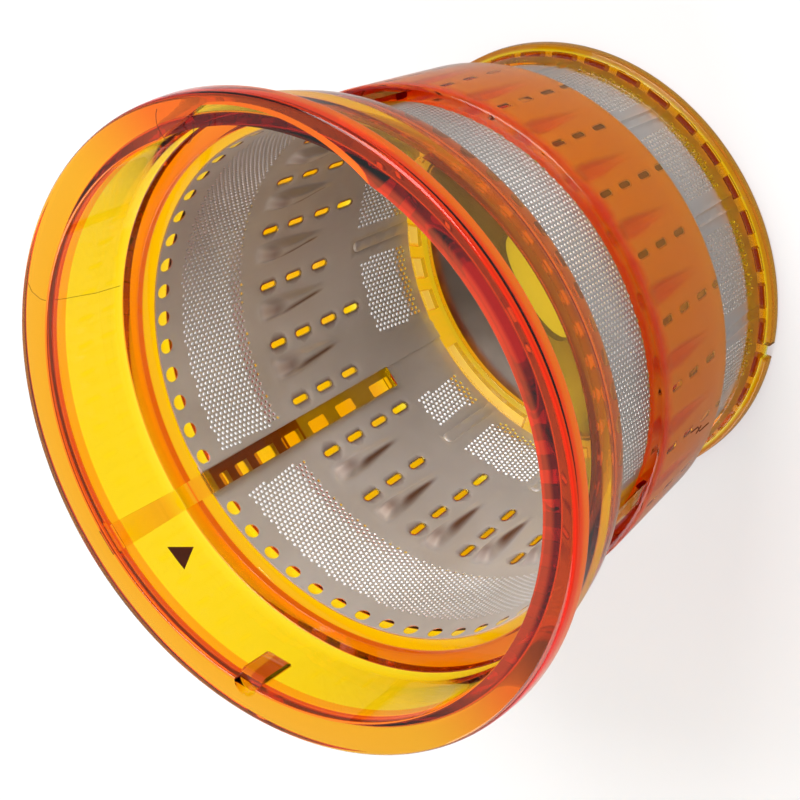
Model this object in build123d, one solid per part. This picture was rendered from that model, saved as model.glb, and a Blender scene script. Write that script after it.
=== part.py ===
from build123d import *
import math
import os

# Strainer basket of a slow juicer: a clear moulded frame round a perforated steel cone.
# Millimetres, +Z up, wide mouth up. The origin is on the axis, on the resting surface.
# Angles are degrees about +Z. The seam of the steel faces -Y.

# Overall
HEIGHT = 86.4
SEAM_ANGLE = 270.0

# Steel cone, radii of its inner face. Its many flats stand for a round cone.
SHEET = 0.5
FLATS = 72
FLAT_ARC = 360.0 / FLATS
CUT_SPARE = 3.0
STEEL_TOP_Z = HEIGHT - 21.8
STEEL_LOW_Z = 2.5
STEEL_TOP_R = 45.4
STEEL_SLOPE = 0.1275

# Rim and bowl
RIM_R = 57.0
RIM_THICK = 3.8
RIM_BREAK = 0.6
MOUTH_R = 50.8
BOWL_WALL = 1.8
BOWL_DEPTH = 18.8
SKIRT_Z = HEIGHT - 17.2
SKIRT_LOW_Z = HEIGHT - 20.2
SKIRT_LOW_R = 51.4
LEDGE_R = 47.0
LEDGE_STEP = 1.2
COLLAR_R = 47.6
COLLAR_TOP_Z = HEIGHT - 22.0
COLLAR_LOW_Z = HEIGHT - 26.5
COLLAR_LIP = 1.3

# Middle band, moulded over the slotted zone
BAND_TOP_Z = HEIGHT - 41.9
BAND_LOW_Z = HEIGHT - 66.1
BAND_END_Z = HEIGHT - 67.6
BAND_COVER = 2.7
BAND_LIP = 0.4

# Bottom ring
RING_TOP_Z = HEIGHT - 80.7
RING_R = 39.8
FOOT_R = 41.0
FOOT_TOP_Z = 2.1
FLOOR_Z = STEEL_LOW_Z
HOLE_R = 33.0
POCKETS = 36
POCKET_ARC = 6.2
POCKET_DEPTH = 1.7
POCKET_IN_R = 35.6
POCKET_OUT_R = 38.8
LONG_POCKET = (270.0, 302.0)
SOLID_BLOCK = (260.0, 270.0)
FOOT_NOTCH_ANGLE = 40.5
FOOT_NOTCH_ARC = 4.0

# Slots and anchor holes of the steel, which the frame covers
ROWS = 24
ROW_FIRST = SEAM_ANGLE - 7.5
SLOT_Z = (HEIGHT - 48.4, HEIGHT - 54.6, HEIGHT - 61.1, HEIGHT - 66.9)
SLOT_LENGTH = 3.7
SLOT_WIDTH = 1.3
ANCHORS = 54
ANCHOR_SIDE = 2.4
ANCHOR_Z = HEIGHT - 23.6

# Raised ridges between the slot rows
RIDGE_SHIFT = -9.0
RIDGE_TOP_Z = HEIGHT - 45.8
RIDGE_PEAK_Z = HEIGHT - 47.6
RIDGE_LOW_Z = HEIGHT - 63.0
RIDGE_RISE = 1.4
RIDGE_WIDTH = 3.8
RIDGE_CREST = 2.2
RIDGE_ROOT = 0.2

# Upright beads between the lower perforated fields
BEADS = 12
BEAD_FIRST = SEAM_ANGLE - 8.2
BEAD_TOP_Z = HEIGHT - 69.9
BEAD_LOW_Z = HEIGHT - 82.0
BEAD_WIDTH = 2.0
BEAD_RISE = 0.35

# Perforated fields, each shown by upright gaps
UPPER_FIELDS = 3
UPPER_GAPS = 18
UPPER_Z = (BAND_TOP_Z + 0.2, HEIGHT - 28.0)
LOWER_FIELDS = 12
LOWER_FIRST = SEAM_ANGLE - 22.5
LOWER_GAPS = 5
LOWER_Z = (HEIGHT - 80.5, HEIGHT - 71.4)
SEAM_PLAIN = (SEAM_ANGLE - 2.0, SEAM_ANGLE + 10.0)
GAP_SHARE = 0.55

# Seam bar inside and ribs outside
BAR_WIDTH = 4.1
BAR_ANGLE = SEAM_ANGLE - 1.0
BAR_RISE = 1.2
BAR_ROOT = 0.3
BAR_LOW_Z = HEIGHT - 68.4
BAR_WALL_TOP_Z = HEIGHT - 2.7
BAR_WALL_RISE = 0.7
WINDOW_WIDTH = 2.3
WINDOWS = ((24.4, 25.6), (28.2, 30.5), (33.1, 37.2), (39.9, 44.0), (46.8, 51.0), (53.9, 58.2), (62.9, 68.0))
RIB_WIDTH = 4.6
RIB_RISE = 1.6
RIB_LAP = 0.6
RIBS = 3

# Rim details
LUG_ANGLE = SEAM_ANGLE + 39.0
LUG_WIDTH = 4.9
LUG_DROP = 9.5
LUG_RISE = 1.2
LUG_CUT_R = 2.3
LUG_CUT_DEPTH = 1.6
LUG_EDGE = 0.5
NOTCH_ANGLE = 136.0
NOTCH_END_ANGLE = 158.0
NOTCH_OUT_R = 54.8
NOTCH_CIRCLE_R = 44.0
NOTCH_DEPTH = 2.6

# Bottom plate
PLATE_SHEET = 0.6
PLATE_Z = 0.3
PLATE_R = 34.0
BORE_R = 12.0
HUB_HEIGHT = 4.0


def steel_r(z, offset=0.0):
    """Radius of the cone's inner face at a height, plus an offset outward."""
    return STEEL_TOP_R - STEEL_SLOPE * (STEEL_TOP_Z - z) + offset


def between(angle, low, high):
    """Whether an angle is inside a range, whatever whole turns it carries."""
    return (angle - low) % 360.0 <= high - low


def turned(*points):
    """A full turn of a section given as radius and height."""
    outline = Plane.XZ * Polyline(*points, close=True)
    return revolve(make_face(outline), Axis.Z)


def standing(points, width, angle):
    """A flat web: a section in radius and height, as thick as width, at an angle."""
    web = extrude(make_face(Plane.XZ * Polyline(*points, close=True)), width / 2, both=True)
    return Rot(0, 0, angle) * web


def opening(low, high, width, angle):
    """A cutter through the cone's sheet: between two heights, centred on an angle."""
    middle = (low + high) / 2
    block = Pos(steel_r(middle), 0, middle) * Box(2 * CUT_SPARE, width, high - low)
    return Rot(0, 0, angle) * block


def flat_cone(offset):
    """The solid inside one face of the sheet: a wedge for every flat, all joined."""
    section = [
        (0, STEEL_LOW_Z),
        (steel_r(STEEL_LOW_Z, offset), STEEL_LOW_Z),
        (steel_r(STEEL_TOP_Z, offset), STEEL_TOP_Z),
        (0, STEEL_TOP_Z),
    ]
    half = RIM_R * math.tan(math.radians(FLAT_ARC / 2))
    plan = make_face(Polyline((0, 0), (RIM_R, -half), (RIM_R, half), close=True))
    wedge = standing(section, 4 * half, 0) & extrude(plan, HEIGHT)
    wedges = [Rot(0, 0, FLAT_ARC * (i + 0.5)) * wedge for i in range(FLATS)]
    return wedges[0] + wedges[1:]


def row_angle(row):
    return ROW_FIRST + row * 360.0 / ROWS


def slots():
    """Upright slots in rows of three and four by turns, square where the real ends are round."""
    cutters = []
    for row in range(ROWS):
        count = 3 + row % 2
        for z in SLOT_Z[:count]:
            half = SLOT_LENGTH / 2
            cutters.append(opening(z - half, z + half, SLOT_WIDTH, row_angle(row)))
    return cutters


def anchors():
    """Square holes near the top edge, which stand for round ones. The seam has none."""
    step = 360.0 / ANCHORS
    half = ANCHOR_SIDE / 2
    places = [SEAM_ANGLE + step * i for i in range(1, ANCHORS)]
    return [opening(ANCHOR_Z - half, ANCHOR_Z + half, ANCHOR_SIDE, a) for a in places]


def windows():
    """Windows of the steel under the seam bar."""
    return [opening(HEIGHT - low, HEIGHT - top, WINDOW_WIDTH, SEAM_ANGLE) for top, low in WINDOWS]


def field(centre, count, low, high):
    """The upright gaps of one perforated field, one to a flat, clear of the seam."""
    width = math.radians(FLAT_ARC) * steel_r((low + high) / 2) * GAP_SHARE
    first = centre - FLAT_ARC * (count - 1) / 2
    angles = [first + FLAT_ARC * i for i in range(count)]
    return [opening(low, high, width, a) for a in angles if not between(a, *SEAM_PLAIN)]


def upper_gaps():
    cutters = []
    for i in range(UPPER_FIELDS):
        centre = SEAM_ANGLE + (i + 0.5) * 360.0 / UPPER_FIELDS
        cutters += field(centre, UPPER_GAPS, *UPPER_Z)
    return cutters


def lower_gaps():
    cutters = []
    for i in range(LOWER_FIELDS):
        centre = LOWER_FIRST + i * 360.0 / LOWER_FIELDS
        cutters += field(centre, LOWER_GAPS, *LOWER_Z)
    return cutters


def ridge(angle):
    """One pressed ridge: blunt at the top, running out into the cone below."""
    side = [
        (steel_r(RIDGE_TOP_Z, RIDGE_ROOT), RIDGE_TOP_Z),
        (steel_r(RIDGE_PEAK_Z, -RIDGE_RISE), RIDGE_PEAK_Z),
        (steel_r(RIDGE_LOW_Z), RIDGE_LOW_Z),
        (steel_r(RIDGE_LOW_Z, RIDGE_ROOT), RIDGE_LOW_Z),
    ]
    low = steel_r(RIDGE_LOW_Z)
    section = Polyline(
        (low + RIDGE_ROOT, RIDGE_WIDTH / 2),
        (low, RIDGE_WIDTH / 2),
        (low - RIDGE_RISE, RIDGE_CREST / 2),
        (low - RIDGE_RISE, -RIDGE_CREST / 2),
        (low, -RIDGE_WIDTH / 2),
        (low + RIDGE_ROOT, -RIDGE_WIDTH / 2),
        close=True,
    )
    face = Pos(0, 0, RIDGE_LOW_Z) * make_face(section)
    bar = extrude(face, RIDGE_TOP_Z - RIDGE_LOW_Z, dir=(STEEL_SLOPE, 0, 1))
    return Rot(0, 0, angle) * (bar & standing(side, 2 * RIDGE_WIDTH, 0))


def ridges():
    made = []
    for row in range(ROWS):
        angle = row_angle(row) + RIDGE_SHIFT
        if abs((angle - SEAM_ANGLE + 180) % 360 - 180) > 360.0 / ROWS / 2:
            made.append(ridge(angle))
    return made


def beads():
    made = []
    for i in range(BEADS):
        section = [
            (steel_r(BEAD_TOP_Z, SHEET / 2), BEAD_TOP_Z),
            (steel_r(BEAD_TOP_Z - BEAD_RISE, -BEAD_RISE), BEAD_TOP_Z - BEAD_RISE),
            (steel_r(BEAD_LOW_Z, -BEAD_RISE), BEAD_LOW_Z),
            (steel_r(BEAD_LOW_Z, SHEET / 2), BEAD_LOW_Z),
        ]
        made.append(standing(section, BEAD_WIDTH, BEAD_FIRST + i * 360.0 / BEADS))
    return made


def steel_screen():
    """The rolled and pressed cone with all its slots, holes and gaps."""
    cone = flat_cone(SHEET) - flat_cone(0)
    cone = cone + ridges() + beads()
    return cone - (slots() + anchors() + windows() + upper_gaps() + lower_gaps())


def bowl():
    """Rim, bowl wall, ledge and the collar that grips the steel's top edge."""
    under = HEIGHT - RIM_THICK
    ledge = HEIGHT - BOWL_DEPTH
    return turned(
        (MOUTH_R, HEIGHT),
        (RIM_R - RIM_BREAK, HEIGHT),
        (RIM_R, HEIGHT - RIM_BREAK),
        (RIM_R, under),
        (MOUTH_R + BOWL_WALL, under),
        (MOUTH_R + BOWL_WALL, SKIRT_Z),
        (SKIRT_LOW_R, SKIRT_LOW_Z),
        (COLLAR_R, COLLAR_TOP_Z),
        (steel_r(COLLAR_LOW_Z, COLLAR_LIP), COLLAR_LOW_Z),
        (steel_r(COLLAR_LOW_Z, -SHEET), COLLAR_LOW_Z),
        (steel_r(STEEL_TOP_Z, -SHEET), STEEL_TOP_Z - SHEET),
        (STEEL_TOP_R, STEEL_TOP_Z),
        (LEDGE_R, ledge - LEDGE_STEP),
        (LEDGE_R, ledge),
        (MOUTH_R, ledge),
    )


def band():
    """The thick sleeve that covers the slotted zone of the steel."""
    outside = SHEET + BAND_COVER
    return turned(
        (steel_r(BAND_TOP_Z, -SHEET), BAND_TOP_Z),
        (steel_r(BAND_TOP_Z, outside), BAND_TOP_Z),
        (steel_r(BAND_LOW_Z, outside), BAND_LOW_Z),
        (steel_r(BAND_END_Z, SHEET + BAND_LIP), BAND_END_Z),
        (steel_r(BAND_END_Z, -SHEET), BAND_END_Z),
    )


def pocket(angle):
    """A pocket in the ring's underside."""
    depth = POCKET_OUT_R - POCKET_IN_R
    width = math.radians(POCKET_ARC) * POCKET_OUT_R
    block = Box(depth, width, 2 * POCKET_DEPTH, align=(Align.MAX, Align.CENTER, Align.CENTER))
    return Rot(0, 0, angle) * Pos(POCKET_OUT_R, 0, 0) * block


def long_pocket():
    """The pocket beside the seam, which takes the room of several."""
    section = Polyline(
        (POCKET_IN_R, 0),
        (POCKET_OUT_R, 0),
        (POCKET_OUT_R, POCKET_DEPTH),
        (POCKET_IN_R, POCKET_DEPTH),
        close=True,
    )
    start, end = LONG_POCKET
    return Rot(0, 0, start) * revolve(make_face(Plane.XZ * section), Axis.Z, end - start)


def pockets():
    step = 360.0 / POCKETS
    middles = [step * (i + 0.5) for i in range(POCKETS)]
    plain = (SOLID_BLOCK[0], LONG_POCKET[1] + step / 2)
    return [long_pocket()] + [pocket(m) for m in middles if not between(m, *plain)]


def bottom_ring():
    shape = turned(
        (steel_r(RING_TOP_Z, -SHEET), RING_TOP_Z),
        (RING_R, RING_TOP_Z),
        (RING_R, FOOT_TOP_Z),
        (FOOT_R, FOOT_TOP_Z),
        (FOOT_R, 0),
        (HOLE_R, 0),
        (HOLE_R, FLOOR_Z),
        (steel_r(FLOOR_Z, -SHEET), FLOOR_Z),
    )
    width = math.radians(FOOT_NOTCH_ARC) * FOOT_R
    notch = Pos(RING_R, 0, 0) * Box(FOOT_R, width, FOOT_TOP_Z, align=(Align.MIN, Align.CENTER, Align.MIN))
    return shape - pockets() - Rot(0, 0, FOOT_NOTCH_ANGLE) * notch


def seam_bar():
    """The bar that seals the seam, from the mouth down the wall and over the steel."""
    ledge = HEIGHT - BOWL_DEPTH
    inner = [
        (MOUTH_R + BAR_ROOT, BAR_WALL_TOP_Z),
        (MOUTH_R - BAR_WALL_RISE, BAR_WALL_TOP_Z - BAR_WALL_RISE),
        (MOUTH_R - BAR_WALL_RISE, ledge + BAR_WALL_RISE),
        (LEDGE_R, ledge + BAR_WALL_RISE),
        (steel_r(STEEL_TOP_Z, -BAR_RISE), STEEL_TOP_Z + BAR_RISE),
        (steel_r(BAR_LOW_Z, -BAR_RISE), BAR_LOW_Z),
        (steel_r(BAR_LOW_Z, SHEET), BAR_LOW_Z),
        (steel_r(STEEL_TOP_Z, SHEET), STEEL_TOP_Z),
        (LEDGE_R + BAR_ROOT, ledge - LEDGE_STEP),
        (MOUTH_R + BAR_ROOT, ledge - LEDGE_STEP),
    ]
    return standing(inner, BAR_WIDTH, BAR_ANGLE)


def outer_rib(angle, top, low):
    section = [
        (steel_r(top, -SHEET), top),
        (steel_r(top, SHEET + RIB_RISE), top),
        (steel_r(low, SHEET + RIB_RISE), low),
        (steel_r(low, -SHEET), low),
    ]
    return standing(section, RIB_WIDTH, angle)


def outer_ribs():
    """Ribs that join the bowl to the band, and the band to the ring at the seam."""
    made = []
    for i in range(RIBS):
        angle = SEAM_ANGLE + i * 360.0 / RIBS
        made.append(outer_rib(angle, COLLAR_LOW_Z + RIB_LAP, BAND_TOP_Z - RIB_LAP))
    made.append(outer_rib(SEAM_ANGLE, BAND_END_Z + RIB_LAP, RING_TOP_Z - RIB_LAP))
    return made


def lug():
    """A boss on the mouth's wall."""
    low = HEIGHT - LUG_DROP
    section = [
        (MOUTH_R + LUG_EDGE, HEIGHT - LUG_CUT_DEPTH),
        (MOUTH_R - LUG_RISE, HEIGHT - LUG_CUT_DEPTH),
        (MOUTH_R - LUG_RISE, low + LUG_EDGE),
        (MOUTH_R - LUG_RISE / 2, low),
        (MOUTH_R + LUG_EDGE, low),
    ]
    return standing(section, LUG_WIDTH, LUG_ANGLE)


def rim_cuts():
    """The half round bite above the boss, and the long relief in the rim's inner edge."""
    bite = Pos(MOUTH_R, 0, HEIGHT) * Cylinder(LUG_CUT_R, 2 * LUG_CUT_DEPTH)
    disc = Cylinder(NOTCH_CIRCLE_R, 2 * NOTCH_DEPTH)
    relief = Rot(0, 0, NOTCH_ANGLE) * Pos(NOTCH_OUT_R - NOTCH_CIRCLE_R, 0, HEIGHT) * disc
    half = Box(2 * RIM_R, 2 * RIM_R, 4 * NOTCH_DEPTH, align=(Align.CENTER, Align.MIN, Align.CENTER))
    beyond = Rot(0, 0, NOTCH_END_ANGLE) * Pos(0, 0, HEIGHT) * half
    return [Rot(0, 0, LUG_ANGLE) * bite, relief - beyond]


def amber_frame(steel, plate):
    """The whole moulding. Each part of it is fitted round the steel, then all are joined."""
    inside = flat_cone(SHEET)
    pieces = [bowl() - rim_cuts() + lug(), band(), bottom_ring() - plate] + outer_ribs()
    fitted = [piece - inside for piece in pieces]
    return fitted[0] + fitted[1:] + (seam_bar() - steel)


def bottom_plate():
    """Pressed steel floor of the small end with a short collar round its bore."""
    top = PLATE_Z + PLATE_SHEET
    return turned(
        (BORE_R, PLATE_Z),
        (PLATE_R, PLATE_Z),
        (PLATE_R, top),
        (BORE_R + PLATE_SHEET, top),
        (BORE_R + PLATE_SHEET, PLATE_Z + HUB_HEIGHT),
        (BORE_R, PLATE_Z + HUB_HEIGHT),
    )


os.makedirs("parts", exist_ok=True)
plate = bottom_plate()
steel = steel_screen()
frame = amber_frame(steel, plate)
for name, shape in (("bottom_plate", plate), ("steel_screen", steel), ("amber_frame", frame)):
    export_step(shape, f"parts/{name}.step")
    print(name, "solids", len(shape.solids()), "volume", round(shape.volume), "valid", shape.is_valid)
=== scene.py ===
import math

import bmesh
import bpy
from bpy.props import FloatProperty, FloatVectorProperty, IntProperty, PointerProperty
from mathutils import Euler, Matrix, Vector
from mathutils.geometry import delaunay_2d_cdt


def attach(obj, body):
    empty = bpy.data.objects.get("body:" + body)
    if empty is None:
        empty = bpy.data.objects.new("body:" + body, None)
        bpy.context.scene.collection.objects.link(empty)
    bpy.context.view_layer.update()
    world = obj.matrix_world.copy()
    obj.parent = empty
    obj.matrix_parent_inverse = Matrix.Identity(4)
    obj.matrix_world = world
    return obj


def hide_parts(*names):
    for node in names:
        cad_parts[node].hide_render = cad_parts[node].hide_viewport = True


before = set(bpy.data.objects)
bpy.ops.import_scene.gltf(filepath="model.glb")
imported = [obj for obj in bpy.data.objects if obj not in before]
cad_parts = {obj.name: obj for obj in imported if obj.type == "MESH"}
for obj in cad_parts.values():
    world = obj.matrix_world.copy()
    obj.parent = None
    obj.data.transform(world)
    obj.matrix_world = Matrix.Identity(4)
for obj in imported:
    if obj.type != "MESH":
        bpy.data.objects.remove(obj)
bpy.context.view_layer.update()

bl_info = {
    "name": "Juicer strainer basket",
    "version": (1, 0, 0),
    "blender": (4, 5, 0),
    "location": "View3D > Sidebar > Strainer",
    "description": "Clear amber frame, perforated steel cone and studio for one strainer basket",
    "category": "Object",
}

MM = 0.001

# Studio light: the floor's tone, its tone on the camera's side, and the light that it adds
# where it is seen directly and in gloss; the sky on both sides; where front passes to back
FLOOR_TONE = 0.55
FLOOR_FRONT = 0.3
FLOOR_LIFT = 0.43
FLOOR_GLOSS = 0.25
FLOOR_SIZE = 6000.0
SIDE_Y = (0.04, -0.08)
SKY_FRONT = 0.32
SKY_BACK = 0.6
SKY_TURN = (0.3, -0.7)

# Lamps: name, place and size in metres, power in watts
LAMPS = (("key", (-0.7, 0.4, 1.0), 0.9, 16.0), ("fill", (0.8, -0.5, 0.7), 0.8, 6.0))
LAMP_AIM = (0.0, 0.0, 0.04)

# Camera: millimetres and degrees
LENS = 135.0
SENSOR = 36.0
CAMERA_PLACE = (14.06967, 349.07623, 416.84610)
CAMERA_TURN = (-26.350161, 36.976190, 49.030764)

AMBER_IOR = 1.49

# Painted light by place: painted red and painted shade in the plastic, its painted glow, the
# painted brown reflection and shade on the steel, and the heights between which the steel under
# the band turns a painted red
LIP_PAINTED_LIGHT = (1.0, 0.32, 0.15, 1.0)
FRONT_PAINTED_LIGHT = (1.0, 0.13, 0.03, 1.0)
LINE_PAINTED_SHADE = (0.62, 0.07, 0.02, 1.0)
FLANGE_PAINTED_SHADE = (0.62, 0.22, 0.12, 1.0)
LUG_PAINTED_SHADE = (0.5, 0.12, 0.09, 1.0)
BAR_PAINTED_SHADE = (0.36, 0.11, 0.06, 1.0)
GLOW_COLOR = (1.0, 0.14, 0.03, 1.0)
GLOW_FRONT = 0.3
GLOW_LIP = 0.2
GLOW_POCKETS = 0.12
PAINTED_REFLECTION_BROWN = (0.15, 0.045, 0.01, 1.0)
PAINTED_RED_Z = (40.5, 44.5)

# Heights and radii in millimetres. Those of the cone, band, rim and foot are the part's own
HEIGHT = 86.4
SEAM_ANGLE = 270.0
RIM_R = 57.0
RIM_LOW_Z = 82.6
WALL_TOP_R = 50.8
WALL_LOW_R = 50.4
LEDGE_Z = 67.6
LEDGE_R = 47.0
FOOT_R = 41.0
FOOT_INNER_R = 33.0
FLANGE_R = 39.8
FLANGE_TOP_Z = 2.1
POCKET = (35.6, 38.8)
POCKET_TOP_Z = 1.7
BAND_OUT = 3.2
RIB_WIDTH = 4.6
STEEL_TOP_Z = 64.6
STEEL_LOW_Z = 2.5
STEEL_TOP_R = 45.4
STEEL_SLOPE = 0.1275
BAND_TOP_Z = 44.5
BAND_END_Z = 17.4
RING_TOP_Z = 5.7
COLLAR_LOW_Z = 61.2


def steel_r(z, offset=0.0):
    """Radius of the cone's inner face at a height, plus an offset outward."""
    return STEEL_TOP_R - STEEL_SLOPE * (STEEL_TOP_Z - z) + offset


# Pressed and punched steel. "around" is degrees from the seam, clockwise from above,
# and "down" is millimetres below the top of the rim.
ACROSS = 0.76
SLANT = math.atan(STEEL_SLOPE)
VISIBLE_SHEET = 0.4
FILL = 0.2
SPLIT_DOWN = 44.0
LAP_START = 3.8
LAP_END = 365.2
SLOT_DOWN = (48.4, 54.6, 61.1, 66.9)
SLOT_LENGTH = 3.7
SLOT_WIDTH = 1.3
SKIRT_REACH = 0.6
ANCHORS = 54
ANCHOR_DOWN = 23.6
ANCHOR_R = 1.35
HOLE_R = 0.33
HOLE_PITCH = 0.985
WINDOWS = (
    (24.4, 25.6), (28.2, 30.5), (33.1, 37.2), (39.9, 43.6), (46.8, 51.0), (53.9, 58.2),
    (62.9, 68.0),
)
WINDOW_WIDTH = 2.3
BAR_ANGLE = SEAM_ANGLE - 1.0
BAR_WIDTH = 4.0
LUG_ANGLE = SEAM_ANGLE + 39.0
LUG_R = 50.4
RIDGE_FIRST = 16.5
SLOT_FIRST = 7.5
ROW_STEP = 15.0
RIDGE_TOP = 45.5
RIDGE_LOW = 63.2
RIDGE_HALF = 2.85
RIDGE_RISE = 1.4
TONGUE_FIRST = 38.2
TONGUE_TOP = 69.9
TONGUE_HALF = 1.05
TONGUE_CORNER = 0.9


def smooth(t):
    """A smooth step from nought to one."""
    t = min(max(t, 0.0), 1.0)
    return t * t * (3.0 - 2.0 * t)


def nearest_row(around, first):
    """Number of the nearest row, and the degrees from its middle."""
    row = round((around - first) / ROW_STEP)
    return row, around - first - ROW_STEP * row


def ridge_half(down):
    """Half the width of a ridge in degrees. It narrows towards its lower end."""
    return RIDGE_HALF - 1.7 * smooth((down - 48.0) / 15.0)


def ridge_height(around, down):
    """How far the pressed ridges stand inward at a place on the cone."""
    if not RIDGE_TOP < down < RIDGE_LOW:
        return 0.0
    row, across = nearest_row(around, RIDGE_FIRST)
    if row % 24 == 23:
        return 0.0
    across, half = abs(across), ridge_half(down)
    wall = smooth((half - across) / (0.62 * half))
    rise = smooth((down - RIDGE_TOP + 0.2) / 3.2)
    fall = 1.0 - smooth((down - 51.0) / 12.0)
    return RIDGE_RISE * wall * rise * fall


def tongue_distance(across, down):
    """Millimetres from a tongue's U-shaped outline; across is in millimetres too."""
    if down > TONGUE_TOP + TONGUE_CORNER:
        return TONGUE_HALF - abs(across)
    x = max(abs(across) - (TONGUE_HALF - TONGUE_CORNER), 0.0)
    y = TONGUE_TOP + TONGUE_CORNER - down
    return TONGUE_CORNER - math.hypot(x, y)


def bead_height(around, down):
    """The shallow tongues between the lower fields: a step with a groove round it."""
    if down < TONGUE_TOP - 1.0:
        return 0.0
    number = round((around - TONGUE_FIRST) / 30.0)
    across = (around - TONGUE_FIRST - 30.0 * number) * math.radians(steel_r(HEIGHT - down))
    inside = tongue_distance(across, down)
    groove = 1.0 - smooth(abs(inside) / 0.3)
    return 0.1 * smooth(inside / 0.3) - 0.16 * groove


def slot_distance(around, down):
    """Millimetres from the edge of the nearest slot."""
    row, across = nearest_row(around, SLOT_FIRST)
    across *= math.radians(steel_r(HEIGHT - down))
    near = min(SLOT_DOWN[: 3 + row % 2], key=lambda middle: abs(middle - down))
    along = max(abs(down - near) - (SLOT_LENGTH - SLOT_WIDTH) / 2, 0.0)
    return math.hypot(across, along) - SLOT_WIDTH / 2


def slot_dimple(around, down):
    """The sheet is drawn outward a little round each slot."""
    return -0.16 * (1.0 - smooth(slot_distance(around, down) / 1.1))


def painted_reflection_and_shade(around, down):
    """How much painted reflection and painted shade turn the sheet brown: at the ridges' ends, on
    one flank, and round the slots.
    """
    level = 0.85 * (1.0 - smooth(slot_distance(around, down) / 0.5))
    row, side = nearest_row(around, RIDGE_FIRST)
    if row % 24 == 23 or not 45.0 < down < 62.5:
        return level
    side /= ridge_half(down)
    blade = 1.0 - smooth(abs(side + 0.55) / 0.7)
    blade *= smooth((down - 47.0) / 6.0) * (1.0 - smooth((down - 58.0) / 4.5))
    end = (1.0 - smooth(abs(side) / 1.5)) * (1.0 - smooth(abs(down - 48.0) / 4.6))
    return max(level, blade, 0.72 * end)


def lap_height(around):
    """The seam's inner layer stands in from the outer one and fades out."""
    if around > 200.0:
        return 0.0
    return 0.42 * (1.0 - smooth((around - LAP_START) / 7.0))


def polar(r, degrees, z):
    """A point in space from a radius, an angle and a height."""
    a = math.radians(degrees)
    return Vector((r * math.cos(a), r * math.sin(a), z))


def on_cone(around, down, offset=0.0):
    """A point of the sheet in space, in millimetres."""
    z = HEIGHT - down
    return polar(steel_r(z, offset), SEAM_ANGLE - around, z)


# Mesh helpers


def section(bm, corners):
    """A closed outline in the XZ plane, from radius, height and rounding. Returns its edges."""
    verts = [bm.verts.new((r, 0.0, z)) for r, z, _ in corners]
    bm.faces.new(verts)
    for amount in sorted({size for _, _, size in corners if size > 0}, reverse=True):
        chosen = [v for v, (_, _, size) in zip(verts, corners) if size == amount]
        bmesh.ops.bevel(
            bm, geom=[v for v in chosen if v.is_valid], offset=amount, offset_type="OFFSET",
            segments=3, profile=0.5, affect="VERTICES", material=-1,
        )
    edges = list(bm.edges)
    bmesh.ops.delete(bm, geom=list(bm.faces), context="FACES_ONLY")
    return edges


def ring(corners, steps):
    """A full turn of a rounded section, as a closed mesh with outward faces."""
    bm = bmesh.new()
    edges = section(bm, corners)
    bmesh.ops.spin(
        bm, geom=edges, cent=(0, 0, 0), axis=(0, 0, 1), angle=math.tau, steps=steps,
        use_merge=True,
    )
    bmesh.ops.remove_doubles(bm, verts=list(bm.verts), dist=0.0005)
    bmesh.ops.recalc_face_normals(bm, faces=list(bm.faces))
    return bm


def arc_block(inner, outer, low, high, start, end, steps=5):
    """A solid piece of a ring between two angles."""
    bm = bmesh.new()
    turn = Matrix.Rotation(math.radians(start), 3, "Z")
    corners = ((inner, low), (outer, low), (outer, high), (inner, high))
    face = bm.faces.new([bm.verts.new(turn @ Vector((r, 0.0, z))) for r, z in corners])
    bmesh.ops.spin(
        bm, geom=[face], cent=(0, 0, 0), axis=(0, 0, 1), angle=math.radians(end - start),
        steps=steps,
    )
    bmesh.ops.recalc_face_normals(bm, faces=list(bm.faces))
    return bm


def disc(radius, low, high, distance, angle, segments=64):
    """An upright round block at a distance from the axis, at an angle."""
    bm = bmesh.new()
    turn = Matrix.Rotation(math.radians(angle), 4, "Z")
    bmesh.ops.create_cone(
        bm, cap_ends=True, segments=segments, radius1=radius, radius2=radius, depth=high - low,
        matrix=turn @ Matrix.Translation((distance, 0, (low + high) / 2)),
    )
    return bm


def plug(around, down, shape, inner, outer, grow=0.03):
    """A block that fills a hole of the sheet, between two offsets from its inner face."""
    bm = bmesh.new()
    z = HEIGHT - down
    wide = math.degrees(1.0 / steel_r(z))
    verts = []
    for x, y in shape:
        size = math.hypot(x, y)
        x, y = x * (1 + grow / size), y * (1 + grow / size)
        verts.append(bm.verts.new(on_cone(around + x * wide, down + y, inner)))
    face = bm.faces.new(verts)
    out = bmesh.ops.extrude_face_region(bm, geom=[face])
    moved = [g for g in out["geom"] if isinstance(g, bmesh.types.BMVert)]
    away = on_cone(around, down, outer) - on_cone(around, down, inner)
    bmesh.ops.translate(bm, verts=moved, vec=away)
    bmesh.ops.recalc_face_normals(bm, faces=list(bm.faces))
    return bm


def web(points, width, angle):
    """A standing web: an outline in radius and height, as thick as width, at an angle."""
    bm = bmesh.new()
    verts = [bm.verts.new((r, -width / 2, z)) for r, z in points]
    face = bm.faces.new(verts)
    out = bmesh.ops.extrude_face_region(bm, geom=[face])
    moved = [g for g in out["geom"] if isinstance(g, bmesh.types.BMVert)]
    bmesh.ops.translate(bm, verts=moved, vec=(0, width, 0))
    bmesh.ops.recalc_face_normals(bm, faces=list(bm.faces))
    bmesh.ops.rotate(
        bm, verts=list(bm.verts), cent=(0, 0, 0),
        matrix=Matrix.Rotation(math.radians(angle), 3, "Z"),
    )
    return bm


def merged(parts):
    """One bmesh that holds all the given ones."""
    bm = bmesh.new()
    for part in parts:
        mesh = bpy.data.meshes.new("part")
        part.to_mesh(mesh)
        part.free()
        bm.from_mesh(mesh)
        bpy.data.meshes.remove(mesh)
    return bm


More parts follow.
